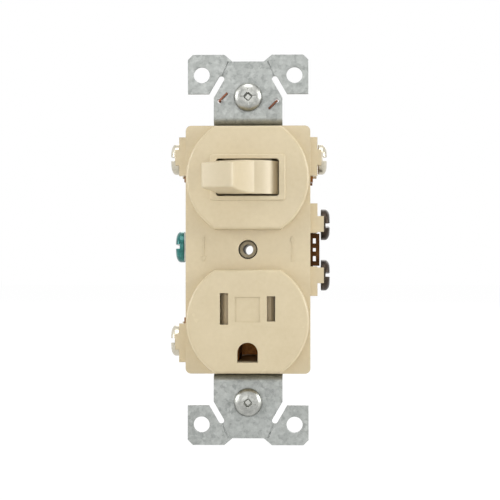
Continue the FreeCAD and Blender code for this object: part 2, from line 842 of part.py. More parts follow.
def dome(level, radius):
    """A half circle on the Y axis, which turns into a ball at a level."""
    return [(0.0, level - radius), (0.0, level + radius, 0.0, level, 1)]


def make_toggle():
    """The lever in its own frame: the pivot at the origin and the tip towards -Y."""
    body = new_body("toggle")
    root_y = -square_root(S.barrel_radius * S.barrel_radius - S.root_half_thickness * S.root_half_thickness)
    tip_y = -S.tip_reach
    run = (S.tip_half_thickness - S.root_half_thickness, tip_y - root_y)
    chord = square_root(run[0] * run[0] + run[1] * run[1])
    flank_radius = chord * chord / 8 / S.flank_hollow + S.flank_hollow / 2
    offset = flank_radius - S.flank_hollow
    flank_x = (S.tip_half_thickness + S.root_half_thickness) / 2 - run[1] / chord * offset
    flank_y = (tip_y + root_y) / 2 + run[0] / chord * offset
    tip = S.tip_half_thickness
    crown_radius = tip * tip / 2 / S.tip_crown + S.tip_crown / 2
    back = S.pin_clearance * 6
    profile = [
        (-tip, tip_y),
        (tip, tip_y, 0.0, tip_y - S.tip_crown + crown_radius, 1),
        (S.root_half_thickness, root_y, flank_x, flank_y, -1),
        (S.barrel_radius, 0.0, 0.0, 0.0, 1),
        (S.barrel_radius, back),
        (S.boss_half_width, back),
        (S.boss_half_width, S.boss_reach),
        (-S.boss_half_width, S.boss_reach),
        (-S.boss_half_width, back),
        (-S.barrel_radius, back),
        (-S.barrel_radius, 0.0),
        (-S.root_half_thickness, root_y, 0.0, 0.0, 1),
    ]
    profile[0] = (-tip, tip_y, -flank_x, flank_y, -1)
    half = S.toggle_width / 2
    add(body, "lever", "z", (-half, half), [profile])
    taper_start = -S.barrel_radius
    wedge_end = tip_y - S.tip_edge
    slope = (half - S.tip_width / 2) / (S.tip_reach - S.barrel_radius)
    narrow = half - slope * (taper_start - wedge_end)
    wedge = [(taper_start, half), (wedge_end, narrow), (wedge_end, half + S.rib_gap)]
    wedge.append((taper_start, half + S.rib_gap))
    reach = S.barrel_radius
    cut(body, "side_tapers", "x", (-reach, reach), [wedge, mirror_z(wedge)[::-1]])

    def tip_corner(edge):
        bounds = edge.BoundBox
        return bounds.YMax < tip_y + 0.01 and bounds.XLength < 0.01 and bounds.ZLength > 1.0

    soften(body, "Fillet", "tip_corners", S.tip_edge, tip_corner)

    def side_rim(edge):
        bounds = edge.BoundBox
        outside = min(abs(bounds.ZMin), abs(bounds.ZMax)) > S.tip_width / 2 - 0.3
        return outside and bounds.YMax < -0.001 and bounds.ZMin * bounds.ZMax > 0

    soften(body, "Fillet", "side_rims", S.side_edge, side_rim)
    add(body, "pins", "z", (-S.pin_length / 2, S.pin_length / 2), [(0.0, 0.0, S.pin_radius)])
    revolve(body, "spring_dome", dome(S.boss_reach, S.boss_dome_radius), "V_Axis")
    place(body, 0.0, S.pivot_depth, switch_height)
    turn_about_z(body, -S.toggle_tilt)


def make_contact_rocker():
    """The plate that tips between the two travellers, with its silver buttons."""
    body = new_body("contact_rocker")
    half_gauge = S.rocker_gauge / 2
    half_width = S.rocker_half_width
    plate = rectangle((-S.rocker_half_length, S.rocker_half_length), (-half_width, half_width))
    add(body, "plate", "y", (-half_gauge, half_gauge), [plate])
    spots = [(side * S.button_spacing / 2, 0.0, S.button_radius) for side in (-1, 1)]
    add(body, "buttons", "y", (half_gauge, half_gauge + S.button_height), spots)
    revolve(body, "spring_nib", dome(-half_gauge, S.nib_radius), "V_Axis")
    pin_reach = half_width + S.rib_gap + S.cradle_ear_gauge
    add(body, "pins", "z", (-pin_reach, pin_reach), [(0.0, 0.0, S.rocker_pin_radius)])
    place(body, 0.0, S.rocker_depth, switch_height)
    turn_about_z(body, S.rocker_tilt)


def coil(label, start, end, radius, wire, turns):
    """A coil spring of round wire between two points, wound in slanted half turns."""
    axis = end - start
    rise = (axis.Length - 2 * wire) / turns / 2
    arcs = []
    for step in range(round(turns * 2)):
        side = 1 - 2 * (step % 2)
        first = Vector(side * radius, 0, step * rise)
        middle = Vector(0, side * radius, (step + 0.5) * rise)
        last = Vector(-side * radius, 0, (step + 1) * rise)
        arcs.append(Part.Arc(first, middle, last).toShape())
    begin = arcs[0].FirstParameter
    circle = Part.makeCircle(wire, arcs[0].valueAt(begin), arcs[0].tangentAt(begin))
    spring = doc.addObject("Part::Feature", label)
    spring.Shape = Part.Wire(arcs).makePipe(Part.Face(Part.Wire([circle])))
    spring.Label = label
    first = start + axis * (wire / axis.Length)
    spring.Placement = FreeCAD.Placement(first, FreeCAD.Rotation(Vector(0, 0, 1), axis))


def turned(x, y, angle):
    radians = math.radians(angle)
    return Vector(
        x * math.cos(radians) - y * math.sin(radians),
        x * math.sin(radians) + y * math.cos(radians),
        0,
    )


def seat_distance(ball_radius):
    """How far from a ball's centre an end coil rests on the ball."""
    inside = S.toggle_spring_radius - S.toggle_spring_wire
    touch = ball_radius + S.spring_seat_gap
    return math.sqrt(touch * touch - inside * inside) - S.toggle_spring_wire


def make_toggle_spring():
    start = Vector(0, S.pivot_depth, switch_height) + turned(0, S.boss_reach, -S.toggle_tilt)
    end = Vector(0, S.rocker_depth, switch_height) + turned(0, -S.rocker_gauge / 2, S.rocker_tilt)
    along = (end - start).normalize()
    start += along * seat_distance(S.boss_dome_radius)
    end -= along * seat_distance(S.nib_radius)
    coil("toggle_spring", start, end, S.toggle_spring_radius, S.toggle_spring_wire, S.toggle_spring_turns)


def make_shutter_spring():
    level = (shutter_front + shutter_back) / 2
    start = Vector(-S.shutter_inner, level, blade_row)
    end = Vector(S.shutter_inner, level, blade_row)
    coil("shutter_spring", start, end, S.shutter_spring_radius, S.shutter_spring_wire, S.shutter_spring_turns)


def add_jaws(body, side):
    """Two leaves that pinch a plug's blade, flared at the front."""
    centre = side * S.blade_spacing / 2
    pinch = S.jaw_gap / 2
    wide = pinch + S.jaw_spread
    leaves = []
    for sign in (-1, 1):
        inner = [(wide, floor_front), (wide, S.jaw_shoulder), (pinch, S.jaw_pinch), (wide, S.jaw_front)]
        outer = [(x + S.jaw_gauge, y) for x, y in inner][::-1]
        leaves.append([(centre + sign * x, y) for x, y in inner + outer])
    add(body, "jaws", "z", jaw_span, leaves)


def screw_hole(level):
    return (S.terminal_depth, level, S.terminal_shank_radius + S.thread_clearance)


def make_traveller(label, side):
    body = new_body(label)
    levels = (floor_front, S.floor_depth)
    inner = S.button_spacing / 2 - S.button_radius - S.jaw_margin / 2
    add(body, "arm", "y", levels, [rectangle(on_side(side, inner, strip_outer), traveller_arm)])
    span = on_side(side, strip_inner, strip_outer)
    side_plate = rectangle((S.strip_front, S.floor_depth), (outer_strip_low, outer_strip_high))
    add(body, "side_plate", "x", span, [side_plate])
    button = (side * S.button_spacing / 2, switch_height, S.button_radius)
    add(body, "button", "y", (floor_front - S.button_height, floor_front), [button])
    cut(body, "screw_hole", "x", span, [screw_hole(S.outer_terminal_height)])


def make_neutral_contact():
    body = new_body("neutral_contact")
    near = S.blade_spacing / 2 - jaw_outer
    far = S.blade_spacing / 2 + jaw_outer
    foot = [
        (-strip_outer, neutral_arm[0]),
        (-near, neutral_arm[0]),
        (-near, jaw_span[1]),
        (-far, jaw_span[1]),
        (-far, neutral_arm[1]),
        (-strip_outer, neutral_arm[1]),
    ]
    add(body, "foot", "y", (floor_front, S.floor_depth), [foot])
    span = (-strip_outer, -strip_inner)
    side_plate = rectangle((S.strip_front, S.floor_depth), (-outer_strip_high, -outer_strip_low))
    add(body, "side_plate", "x", span, [side_plate])
    add_jaws(body, -1)
    cut(body, "screw_hole", "x", span, [screw_hole(-S.outer_terminal_height)])


def make_feed_strip():
    """Hot contact, switch cradle and both dark terminals in one stamping with a break-off fin."""
    body = new_body("feed_strip")
    levels = (floor_front, S.floor_depth)
    near = S.blade_spacing / 2 - jaw_outer
    far = S.blade_spacing / 2 + jaw_outer
    foot = [
        (strip_outer, hot_arm[1]),
        (near, hot_arm[1]),
        (near, jaw_span[0]),
        (far, jaw_span[0]),
        (far, hot_arm[0]),
        (strip_outer, hot_arm[0]),
    ]
    add(body, "foot", "y", levels, [foot])
    leg = (S.post_half_width + S.jaw_margin, S.post_half_width + S.jaw_margin + S.post_half_width)
    ear_low = S.rocker_half_width + S.rib_gap
    ear_high = ear_low + S.cradle_ear_gauge
    base = (switch_height - ear_high, switch_height + ear_high)
    cradle = [
        (leg[0], common_arm[0]),
        (strip_outer, common_arm[0]),
        (strip_outer, common_arm[1]),
        (leg[1], common_arm[1]),
        (leg[1], base[1]),
        (-S.post_half_width, base[1]),
        (-S.post_half_width, base[0]),
        (leg[0], base[0]),
    ]
    span = (strip_inner, strip_outer)
    half = S.feed_strip_half_height
    side_plate = rectangle((S.strip_front, S.floor_depth), (-half, half))
    add(body, "side_plate", "x", span, [side_plate])
    add(body, "cradle_base", "y", levels, [cradle])
    ear_half = 2 * S.rocker_pin_radius
    ear = [
        (-ear_half, floor_front),
        (-ear_half, S.rocker_depth),
        (ear_half, S.rocker_depth, 0.0, S.rocker_depth, 1),
        (ear_half, floor_front),
    ]
    for name, sign in (("lower_ear", -1), ("upper_ear", 1)):
        edges = sorted((switch_height + sign * ear_low, switch_height + sign * ear_high))
        add(body, name, "z", edges, [ear])
    bore = (0.0, S.rocker_depth, S.rocker_pin_radius + S.pin_clearance)
    cut(body, "pivot_holes", "z", base, [bore])
    add_jaws(body, 1)
    holes = [screw_hole(S.dark_terminal_height), screw_hole(-S.dark_terminal_height)]
    cut(body, "screw_holes", "x", span, holes)
    bar_inner = S.fin_reach - S.fin_gauge
    top = S.fin_half_height
    leg_height = S.fin_leg_height
    loops = [rectangle((bar_inner, S.fin_reach), (-top, top))]
    gap = (top - 2 * leg_height) / 2
    for sign in (-1, 1):
        for low in (top - leg_height, gap / 2):
            spread = sorted((sign * low, sign * (low + leg_height)))
            loops.append(rectangle((strip_outer, bar_inner), spread))
    fin_levels = (S.strip_front, S.strip_front + S.fin_gauge)
    add(body, "fin_bar", "y", fin_levels, loops[1:])
    add(body, "fin_legs", "y", fin_levels, loops[:1])


def make_ground_contact():
    body = new_body("ground_contact")
    inner = S.ground_jaw_gap / 2
    outer = inner + S.ground_jaw_gauge
    foot = S.body_back - S.ground_jaw_gauge
    channel = [
        (-outer, S.body_back),
        (-outer, S.jaw_pinch),
        (-inner, S.jaw_pinch),
        (-inner, foot),
        (inner, foot),
        (inner, S.jaw_pinch),
        (outer, S.jaw_pinch),
        (outer, S.body_back),
    ]
    half = S.ground_jaw_length / 2
    add(body, "channel", "z", (ground_pin_height - half, ground_pin_height + half), [channel])
    cut(body, "rivet_hole", "y", (foot, S.body_back), [(0.0, ground_pin_height, S.rivet_radius)])


def make_ground_rivet():
    body = new_body("ground_rivet")
    foot = S.body_back - S.ground_jaw_gauge
    shank = (0.0, ground_pin_height, S.rivet_radius)
    head = (0.0, ground_pin_height, S.rivet_head_radius)
    add(body, "shank", "y", (foot - S.rivet_head_height, strap_back + S.rivet_head_height), [shank])
    add(body, "inner_head", "y", (foot - S.rivet_head_height, foot), [head])
    add(body, "outer_head", "y", (strap_back, strap_back + S.rivet_head_height), [head])


def make_shutter(label, side):
    body = new_body(label)
    outer = side * S.shutter_outer
    inner = side * S.shutter_inner
    bevel = side * (S.shutter_outer - S.shutter_bevel)
    profile = [
        (inner, shutter_back),
        (outer, shutter_back),
        (outer, shutter_front + S.shutter_bevel),
        (bevel, shutter_front),
        (inner, shutter_front),
    ]
    if side == -1:
        profile = profile[::-1]
    half = S.shutter_half_height
    add(body, "slab", "z", (blade_row - half, blade_row + half), [profile])


def make_shutter_carrier():
    body = new_body("shutter_carrier")
    half_width = S.carrier_half_width
    half_height = S.carrier_half_height
    levels = (carrier_front, S.turret_front)
    outline = rounded((-half_width, half_width), (blade_row - half_height, blade_row + half_height), S.opening_corner)
    add(body, "plate", "y", levels, [outline])
    reach = S.slot_thickness / 2 + S.carrier_slot_margin
    half = S.neutral_slot_length / 2 + S.carrier_slot_margin
    slots = []
    for side in (-1, 1):
        centre = side * S.blade_spacing / 2
        slots.append(rectangle((centre - reach, centre + reach), (blade_row - half, blade_row + half)))
    cut(body, "slots", "y", levels, slots)


def make_terminal_screw(label, side, level, standoff, under):
    """A slotted binding-head screw along X, its head clear of the strip by the standoff."""
    body = new_body(label)
    shank = S.terminal_shank_radius
    length = standoff + S.strip_gauge + S.shank_protrusion
    point = S.terminal_slot_width / 2
    head = S.terminal_head_radius
    rim = S.terminal_head_rim
    high = S.terminal_head_height
    crown = S.terminal_crown_radius
    bulge = (high - rim) * (high - rim) + (head - crown) * (head - crown)
    section = [
        (-length, 0.0),
        (-length, shank - point),
        (-length + point, shank),
        (0.0, shank),
        (0.0, head),
        (rim, head),
        (high, crown),
        (high, 0.0),
    ]
    revolve(body, "turned", section[::-1])
    slot = rectangle((-head - bulge, head + bulge), (-S.terminal_slot_width / 2, S.terminal_slot_width / 2))
    cut(body, "slot", "x", (high - S.terminal_slot_depth, high), [slot])
    place(body, side * (under + standoff), S.terminal_depth, level)
    if side == -1:
        body.Placement.Rotation = FreeCAD.Rotation(Vector(0, 0, 1), 180)


def make_box_screw(label, sign):
    """A round-head screw that fixes the strap to the wall box, with a slot and a cross recess."""
    body = new_body(label)
    head = S.box_head_radius
    shank = S.box_screw_radius
    point = S.box_head_rim
    high = S.box_head_height
    section = [
        (-S.box_screw_length, 0.0),
        (-S.box_screw_length, shank - point),
        (-S.box_screw_length + point, shank),
        (-S.box_neck_length, shank),
        (-S.box_neck_length, S.box_neck_radius),
        (0.0, S.box_neck_radius),
        (0.0, head),
        (S.box_head_rim, head),
        (high, head - (high - S.box_head_rim)),
        (high, 0.0),
    ]
    revolve(body, "turned", section[::-1])
    slot = rectangle((-head, head), (-S.drive_slot_width / 2, S.drive_slot_width / 2))
    cut(body, "slot", "x", (high - S.drive_slot_depth, high), [slot])
    place(body, 0.0, ear_front - S.seat_gap, sign * S.box_screw_spacing / 2)
    body.Placement.Rotation = FreeCAD.Rotation(Vector(0, 0, 1), -90)


def make_retaining_washer():
    body = new_body("retaining_washer")
    level = -S.box_screw_spacing / 2
    levels = (0.0, S.washer_gauge)
    add(body, "disc", "y", levels, [(0.0, level, S.washer_radius)])
    cut(body, "hole", "y", levels, [(0.0, level, S.box_screw_radius + 2 * S.thread_clearance)])


def make_ground_clip():
    """A copper wire across the back of the neck whose ends hook over the front face."""
    wire = float(S.clip_wire_radius)
    front = float(ear_front - S.clip_gap) - wire
    back = float(S.clip_gap) + wire
    side = float(S.clip_hole_spacing / 2)
    level = float(S.clip_hole_height)
    leg = float(S.clip_leg)
    dip = float(S.box_screw_spacing / 2 - S.box_screw_radius - 2 * S.clip_gap) - wire
    route = [
        Vector(-side + leg, front, level + leg),
        Vector(-side, front, level),
        Vector(-side, back, level),
        Vector(-float(S.box_screw_radius), back, dip),
        Vector(float(S.box_screw_radius), back, dip),
        Vector(side, back, level),
        Vector(side, front, level),
        Vector(side - leg, front, level - leg),
    ]
    runs = [Part.makeCylinder(wire, a.distanceToPoint(b), a, b - a) for a, b in zip(route, route[1:])]
    joints = [Part.makeSphere(wire, point) for point in route[1:-1]]
    clip = doc.addObject("Part::Feature", "ground_clip")
    clip.Shape = runs[0].fuse(runs[1:] + joints).removeSplitter()
    clip.Label = "ground_clip"


make_front_cover()
make_back_body()
make_mounting_strap()
make_centre_eyelet()
make_ground_clip()
make_toggle()
make_contact_rocker()
make_toggle_spring()
make_traveller("left_traveller_strip", -1)
make_traveller("right_traveller_strip", 1)
make_neutral_contact()
make_feed_strip()
make_ground_contact()
make_ground_rivet()
make_shutter("left_shutter", -1)
make_shutter("right_shutter", 1)
make_shutter_spring()
make_shutter_carrier()
for name, side, level, _, _, standoff in TERMINALS:
    make_terminal_screw(f"{name}_screw", side, level, standoff, strip_outer)
lug_outer = strip_inner + S.strap_gauge
make_terminal_screw("ground_screw", -1, S.ground_screw_height, S.ground_standoff, lug_outer)
make_box_screw("upper_box_screw", 1)
make_box_screw("lower_box_screw", -1)
make_retaining_washer()

doc.recompute()

failed = [item.Name for item in doc.Objects if {"Invalid", "Error"} & set(item.State)]
if failed:
    raise RuntimeError(f"these objects failed: {failed}")
pieces = [item for item in doc.Objects if item.TypeId in ("PartDesign::Body", "Part::Feature")]
for piece in pieces:
    if piece.Shape.isNull() or not piece.Shape.isValid() or not piece.Shape.Solids:
        raise RuntimeError(f"{piece.Label} has no valid solid")
for piece in pieces:
    piece.Shape.exportStep(f"parts/{piece.Label}.step")
print(f"{len(pieces)} pieces written")
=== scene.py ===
import json
import math

import bmesh
import bpy
from mathutils import Matrix, Vector

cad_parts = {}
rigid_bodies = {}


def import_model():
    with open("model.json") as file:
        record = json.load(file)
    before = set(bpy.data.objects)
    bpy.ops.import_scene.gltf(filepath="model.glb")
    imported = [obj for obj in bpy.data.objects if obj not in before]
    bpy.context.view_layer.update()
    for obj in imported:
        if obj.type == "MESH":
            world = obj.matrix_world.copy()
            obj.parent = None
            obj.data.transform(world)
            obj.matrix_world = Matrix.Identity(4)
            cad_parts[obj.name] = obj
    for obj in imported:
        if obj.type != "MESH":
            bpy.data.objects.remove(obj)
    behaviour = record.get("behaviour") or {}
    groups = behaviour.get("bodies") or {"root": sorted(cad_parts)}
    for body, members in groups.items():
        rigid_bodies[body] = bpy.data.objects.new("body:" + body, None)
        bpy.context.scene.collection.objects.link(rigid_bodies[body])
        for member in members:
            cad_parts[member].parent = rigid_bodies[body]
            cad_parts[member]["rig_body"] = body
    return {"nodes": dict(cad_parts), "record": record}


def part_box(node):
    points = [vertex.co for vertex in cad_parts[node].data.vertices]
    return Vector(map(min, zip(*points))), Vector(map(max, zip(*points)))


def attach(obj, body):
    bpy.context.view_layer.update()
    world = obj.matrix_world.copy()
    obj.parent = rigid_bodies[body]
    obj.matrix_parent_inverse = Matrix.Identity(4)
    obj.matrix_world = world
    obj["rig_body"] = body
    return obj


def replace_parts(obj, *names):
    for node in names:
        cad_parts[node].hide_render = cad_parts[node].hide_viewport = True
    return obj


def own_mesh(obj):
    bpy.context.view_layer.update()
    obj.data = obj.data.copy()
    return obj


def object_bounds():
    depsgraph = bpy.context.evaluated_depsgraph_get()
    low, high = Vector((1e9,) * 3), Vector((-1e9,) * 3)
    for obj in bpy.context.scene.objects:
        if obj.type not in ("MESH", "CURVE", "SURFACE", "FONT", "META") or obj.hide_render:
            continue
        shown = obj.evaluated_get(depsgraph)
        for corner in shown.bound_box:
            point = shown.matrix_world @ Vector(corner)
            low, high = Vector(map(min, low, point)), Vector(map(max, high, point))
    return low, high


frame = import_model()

MM = 0.001
cad_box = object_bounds()


# Materials. Colours are written as they look on a screen, from 0 to 255.


def linear(colour):
    shares = [part / 255 for part in colour]
    return [s / 12.92 if s <= 0.04045 else ((s + 0.055) / 1.055) ** 2.4 for s in shares] + [1.0]


class Recipe:
    """A node material that is put together step by step."""

    def __init__(self, name, metallic, specular=0.5, coat=0.0):
        self.material = bpy.data.materials.new(name)
        self.material.use_nodes = True
        self.tree = self.material.node_tree
        self.shader = self.tree.nodes["Principled BSDF"]
        self.shader.inputs["Metallic"].default_value = metallic
        self.shader.inputs["Specular IOR Level"].default_value = specular
        self.shader.inputs["Coat Weight"].default_value = coat
        self.place = self.add("ShaderNodeTexCoord").outputs["Object"]
        self.normal = None

    def add(self, kind, **fields):
        node = self.tree.nodes.new(kind)
        for field, value in fields.items():
            setattr(node, field, value)
        return node

    def link(self, start, end):
        self.tree.links.new(start, end)

    def stretched(self, factors):
        """The object's own coordinates, stretched along each axis."""
        mapping = self.add("ShaderNodeMapping")
        mapping.inputs["Scale"].default_value = factors
        self.link(self.place, mapping.inputs["Vector"])
        return mapping.outputs["Vector"]

    def noise(self, scale, detail=4.0, rough=0.55, vector=None):
        node = self.add("ShaderNodeTexNoise")
        node.inputs["Scale"].default_value = scale
        node.inputs["Detail"].default_value = detail
        node.inputs["Roughness"].default_value = rough
        self.link(vector or self.place, node.inputs["Vector"])
        return node.outputs["Fac"]

    def cells(self, scale):
        """One random value for each cell, as in the grains of a zinc coat."""
        warp = self.add("ShaderNodeTexNoise")
        warp.inputs["Scale"].default_value = scale * 1.7
        self.link(self.place, warp.inputs["Vector"])
        mix = self.add("ShaderNodeMix", data_type="VECTOR")
        mix.inputs["Factor"].default_value = 0.0012
        self.link(self.place, mix.inputs["A"])
        self.link(warp.outputs["Color"], mix.inputs["B"])
        node = self.add("ShaderNodeTexVoronoi")
        node.inputs["Scale"].default_value = scale
        self.link(mix.outputs["Result"], node.inputs["Vector"])
        split = self.add("ShaderNodeSeparateColor")
        self.link(node.outputs["Color"], split.inputs["Color"])
        return split.outputs["Red"]

    def blend(self, first, second, share):
        node = self.add("ShaderNodeMix", data_type="FLOAT")
        node.inputs["Factor"].default_value = share
        self.link(first, node.inputs["A"])
        self.link(second, node.inputs["B"])
        return node.outputs["Result"]

    def colour(self, amount, stops):
        ramp = self.add("ShaderNodeValToRGB").color_ramp
        while len(ramp.elements) < len(stops):
            ramp.elements.new(0.5)
        for element, (position, shade) in zip(ramp.elements, stops):
            element.position = position
            element.color = linear(shade)
        node = self.tree.nodes[-1]
        self.link(amount, node.inputs["Fac"])
        self.link(node.outputs["Color"], self.shader.inputs["Base Color"])

    def roughness(self, amount, low, high):
        node = self.add("ShaderNodeMapRange")
        node.inputs["From Min"].default_value = 0.25
        node.inputs["From Max"].default_value = 0.75
        node.inputs["To Min"].default_value = low
        node.inputs["To Max"].default_value = high
        self.link(amount, node.inputs["Value"])
        self.link(node.outputs["Result"], self.shader.inputs["Roughness"])

    def soft_edges(self, radius):
        node = self.add("ShaderNodeBevel", samples=4)
        node.inputs["Radius"].default_value = radius
        self.normal = node.outputs["Normal"]
        self.link(self.normal, self.shader.inputs["Normal"])

    def bump(self, amount, strength, distance):
        node = self.add("ShaderNodeBump")
        node.inputs["Strength"].default_value = strength
        node.inputs["Distance"].default_value = distance
        self.link(amount, node.inputs["Height"])
        if self.normal:
            self.link(self.normal, node.inputs["Normal"])
        self.normal = node.outputs["Normal"]
        self.link(self.normal, self.shader.inputs["Normal"])


def moulded(name, pale, deep, low, high, grain=2600, grain_height=0.000012):
    """Satin thermoplastic: cloudy colour, a fine spark-eroded grain and faint flow waves."""
    recipe = Recipe(name, 0.0, specular=0.45)
    recipe.soft_edges(0.00022)
    clouds = recipe.blend(recipe.noise(70), recipe.noise(900, 2.0), 0.3)
    recipe.colour(clouds, [(0.3, deep), (0.7, pale)])
    recipe.roughness(recipe.noise(260), low, high)
    recipe.bump(recipe.noise(90, 2.0), 0.25, 0.00003)
    recipe.bump(recipe.noise(grain, 3.0), 0.3, grain_height)
    return recipe.material


def metal(
    name, shades, low, high, streak=(1.0, 1.0, 1.0), scale=900, height=0.000012, metallic=1.0, coat=0.0
):
    """Bare or plated metal with streaks of the tool or rolls that made it."""
    recipe = Recipe(name, metallic, coat=coat)
    recipe.soft_edges(0.00012)
    streaks = recipe.noise(scale, 5.0, 0.6, recipe.stretched(streak))
    stains = recipe.noise(scale / 4, 3.0)
    both = recipe.blend(streaks, stains, 0.5)
    count = len(shades) - 1
    recipe.colour(both, [(0.3 + 0.4 * step / count, shade) for step, shade in enumerate(shades)])
    recipe.roughness(both, low, high)
    recipe.bump(streaks, 0.35, height)
    return recipe.material


def galvanised(name):
    """Zinc coated sheet: spangles of different greys, dull stains and fine pits."""
    recipe = Recipe(name, 0.85)
    recipe.soft_edges(0.00015)
    spangle = recipe.cells(900)
    mottle = recipe.noise(1100, 8.0, 0.8)
    both = recipe.blend(spangle, mottle, 0.78)
    greys = [
        (0.28, (140, 144, 141)),
        (0.45, (161, 164, 161)),
        (0.6, (172, 175, 172)),
        (0.8, (190, 192, 189)),
    ]
    recipe.colour(both, greys)
    recipe.roughness(both, 0.62, 0.4)
    recipe.bump(mottle, 0.4, 0.00002)
    recipe.bump(recipe.noise(3000, 2.0), 0.3, 0.000008)
    return recipe.material


ALONG_Y = (1, 6, 1)
TURNED = (5, 1, 1)
PRESSED = (1, 5, 1)
FINE = 1400
LOOKS = {
    "ivory": moulded("ivory_plastic", (217, 202, 169), (206, 190, 155), 0.2, 0.28),
    "toggle_ivory": moulded(
        "toggle_plastic", (216, 202, 172), (209, 195, 164), 0.28, 0.38, 3000, 0.000006
    ),
    # shutter_plastic is painted paler than the shutters' own tone: painted light against the shade
    # inside the blade slots.
    "shutter_plastic": moulded("shutter_plastic", (206, 190, 160), (190, 174, 144), 0.42, 0.55),
    "washer_fibre": moulded(
        "washer_fibre", (205, 190, 158), (180, 165, 134), 0.65, 0.85, 1500, 0.00003
    ),
    "galvanised_steel": galvanised("galvanised_steel"),
    "copper": metal("copper_wire", [(98, 62, 48), (140, 92, 72), (178, 126, 104)], 0.28, 0.5),
    # contact_brass is painted much darker than bare brass: painted shade for the contacts seen deep in
    # the slots and the earth hole.
    "contact_brass": metal(
        "contact_brass", [(70, 40, 18), (116, 72, 34), (162, 110, 60)], 0.28, 0.45, ALONG_Y
    ),
    "dark_brass": metal("dark_brass", [(44, 28, 16), (70, 46, 26), (104, 72, 42)], 0.38, 0.6, ALONG_Y),
    "spring_steel": metal("spring_steel", [(130, 130, 130), (180, 180, 178)], 0.22, 0.4),
    "nickel_screw": metal(
        "nickel_plate", [(164, 158, 140), (200, 193, 175), (226, 220, 202)], 0.22, 0.4, TURNED, FINE
    ),
    "zinc_screw": metal(
        "zinc_plate", [(138, 140, 137), (172, 173, 168), (206, 206, 200)], 0.24, 0.42, PRESSED, FINE
    ),
    "dark_screw": metal(
        "dark_plate", [(38, 30, 24), (60, 50, 42), (96, 88, 80)], 0.28, 0.46, TURNED, FINE, metallic=0.8
    ),
    "green_screw": metal(
        "green_finish",
        [(8, 66, 63), (26, 102, 98), (66, 148, 141)],
        0.24,
        0.4,
        TURNED,
        FINE,
        metallic=0.55,
        coat=0.3,
    ),
}

slot_of = {part["node"]: part["material_slot"] for part in frame["record"]["subparts"]}
for node, thing in frame["nodes"].items():
    thing.data.materials.clear()
    thing.data.materials.append(LOOKS[slot_of[node]])

# The eyelet is painted darker and warmer than the strap that shares its slot: painted shade for the
# recess of the centre hole.
frame["nodes"]["centre_eyelet"].data.materials[0] = metal(
    "eyelet_steel", [(92, 84, 68), (128, 118, 98), (168, 158, 136)], 0.35, 0.55
)


# Mesh pieces, built in millimetres with X along a screw's axis


def finish_piece(name, shape, look, body, matrix, sharp=32.0):
    """Turn a mesh under construction into a piece that rides on a body."""
    shape.transform(matrix)
    bmesh.ops.recalc_face_normals(shape, faces=shape.faces)
    limit = math.radians(sharp)
    for face in shape.faces:
        face.smooth = True
    for edge in shape.edges:
        edge.smooth = len(edge.link_faces) != 2 or edge.calc_face_angle() < limit
    mesh = bpy.data.meshes.new(name)
    shape.to_mesh(mesh)
    shape.free()
    mesh.materials.append(LOOKS[look])
    piece = bpy.data.objects.new(name, mesh)
    bpy.context.scene.collection.objects.link(piece)
    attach(piece, body)
    return piece


def lathe(shape, profile, around=64):
    """Turn (x, radius) points about the X axis into a closed skin. The ends have a radius of 0."""
    rows = []
    for x, radius in profile:
        if radius == 0:
            rows.append([shape.verts.new((x, 0, 0))])
            continue
        ring = []
        for step in range(around):
            angle = 2 * math.pi * step / around
            ring.append(shape.verts.new((x, radius * math.cos(angle), radius * math.sin(angle))))
        rows.append(ring)
    for first, second in zip(rows, rows[1:]):
        for step in range(around):
            corners = [
                first[step % len(first)],
                first[(step + 1) % len(first)],
                second[(step + 1) % len(second)],
                second[step % len(second)],
            ]
            shape.faces.new(list(dict.fromkeys(corners)))


TIP_LENGTH = 0.8
TIP_TAPER = 0.55
FLANK_SLOPE = 1.5


def thread(shape, start, end, crest, root, pitch, around=36, per_turn=10):
    """A screw thread along X from start to end, with a tapered last turn."""
    rows = []
    count = max(4, int(abs(end - start) / pitch * per_turn))
    for row in range(count + 1):
        x = start + (end - start) * row / count
        ring = []
        left = abs(end - x)
        for step in range(around):
            share = (x / pitch - step / around) % 1.0
            ridge = 1.0 - abs(2.0 * share - 1.0)
            radius = root + (crest - root) * min(1.0, FLANK_SLOPE * ridge)
            radius -= max(0.0, TIP_LENGTH - left) * TIP_TAPER
            angle = 2 * math.pi * step / around
            ring.append(shape.verts.new((x, radius * math.cos(angle), radius * math.sin(angle))))
        rows.append(ring)
    for first, second in zip(rows, rows[1:]):
        for step in range(around):
            after = (step + 1) % around
            shape.faces.new([first[step], first[after], second[after], second[step]])
    shape.faces.new(rows[0])
    shape.faces.new(rows[-1])


def block(size, centre, turn=0.0):
    """A cutter: a box of a size about a centre, turned about the X axis."""
    cutter = bmesh.new()
    bmesh.ops.create_cube(cutter, size=1.0)
    place = Matrix.Rotation(turn, 4, "X") @ Matrix.Translation(centre)
    cutter.transform(place @ Matrix.Diagonal((*size, 1.0)))
    return cutter


def carve(shape, cutters):
    """Cut the cutters out of a shape."""
    result = shape
    for cutter in cutters:
        pair = []
        for part in (result, cutter):
            mesh = bpy.data.meshes.new("carving")
            part.to_mesh(mesh)
            part.free()
            thing = bpy.data.objects.new("carving", mesh)
            bpy.context.scene.collection.objects.link(thing)
            pair.append(thing)
        change = pair[0].modifiers.new("cut", "BOOLEAN")
        change.operation = "DIFFERENCE"
        change.solver = "EXACT"
        change.object = pair[1]
        bpy.context.view_layer.update()
        carved = pair[0].evaluated_get(bpy.context.evaluated_depsgraph_get())
        result = bmesh.new()
        result.from_mesh(carved.data)
        for thing in pair:
            mesh = thing.data
            bpy.data.objects.remove(thing)
            bpy.data.meshes.remove(mesh)
    return result


def crown(rim, high, radius, flat, steps=10):
    """The rounded top of a screw head, from its rim to its middle."""
    points = []
    for step in range(steps + 1):
        angle = math.pi / 2 * step / steps
        points.append((rim + (high - rim) * math.sin(angle), flat + (radius - flat) * math.cos(angle)))
    return points + [(high, 0)]


